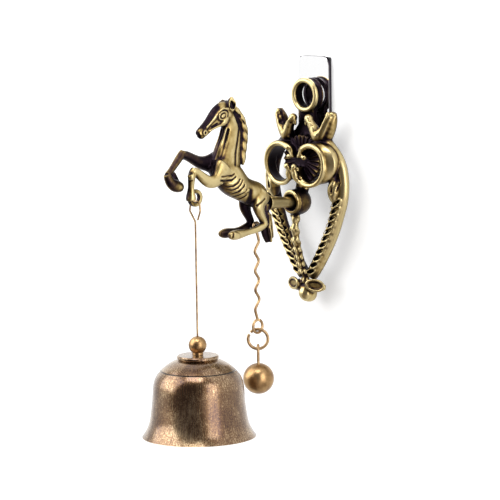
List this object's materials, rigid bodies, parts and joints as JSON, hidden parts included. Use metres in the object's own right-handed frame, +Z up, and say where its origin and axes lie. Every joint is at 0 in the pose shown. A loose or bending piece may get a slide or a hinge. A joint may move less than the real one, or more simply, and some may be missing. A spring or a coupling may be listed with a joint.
{
  "type": "door chime",
  "caption": "Wall-hung door chime: a cast scroll ornament carries a rearing horse that holds a bell on a wire and a striker ball on a zigzag wire.",
  "frame": {"origin": "centre of the foam pad's back, on the wall", "axes": "+Y into the wall, +Z up, +X to the right of someone who faces the wall"},
  "size_m": [0.0402, 0.0812, 0.1289],
  "materials": {
    "polished_steel": "mirror polished",
    "foam": "matt foam",
    "antique_brass": "antique plating, dark in the recesses and rubbed bright on the high places",
    "dark_steel": "plain plated",
    "copper_wire": "drawn wire, satin",
    "aged_bronze": "brushed, with brown patina",
    "aged_brass": "brushed, with light patina"
  },
  "bodies": {
    "frame": {"wall_strip": "polished_steel", "foam_pad": "foam", "escutcheon": "antique_brass", "magnet": "dark_steel", "arm_screw": "dark_steel", "horse": "antique_brass"},
    "bell_hanger": {"bell_wire": "copper_wire", "bell_bead": "aged_bronze", "bell_washer": "aged_bronze"},
    "bell_shell": {"bell": "aged_bronze"},
    "striker": {"striker_wire": "copper_wire"},
    "link": {"jump_ring": "copper_wire"},
    "ball": {"ball_staple": "copper_wire", "striker_ball": "aged_brass"}
  },
  "joints": [
    {"name": "bell_swing", "type": "hinge", "parent": "frame", "child": "bell_hanger", "pos_m": [0, -0.0613, -0.0261], "axis": [1, 0, 0], "range_deg": [-25, 2]},
    {"name": "bell_spin", "type": "hinge", "parent": "bell_hanger", "child": "bell_shell", "pos_m": [0, -0.0613, -0.0798], "axis": [0, 0, 1], "continuous": true},
    {"name": "striker_swing", "type": "hinge", "parent": "frame", "child": "striker", "pos_m": [0, -0.0316, -0.0379], "axis": [1, 0, 0], "range_deg": [-3.5, 8]},
    {"name": "link_swing", "type": "hinge", "parent": "striker", "child": "link", "pos_m": [0, -0.0316, -0.0758], "axis": [0, 1, 0], "range_deg": [-20, 20]},
    {"name": "ball_swing", "type": "hinge", "parent": "link", "child": "ball", "pos_m": [0, -0.0316, -0.08155], "axis": [0.7071, 0.7071, 0], "range_deg": [-15, 15]}
  ]
}
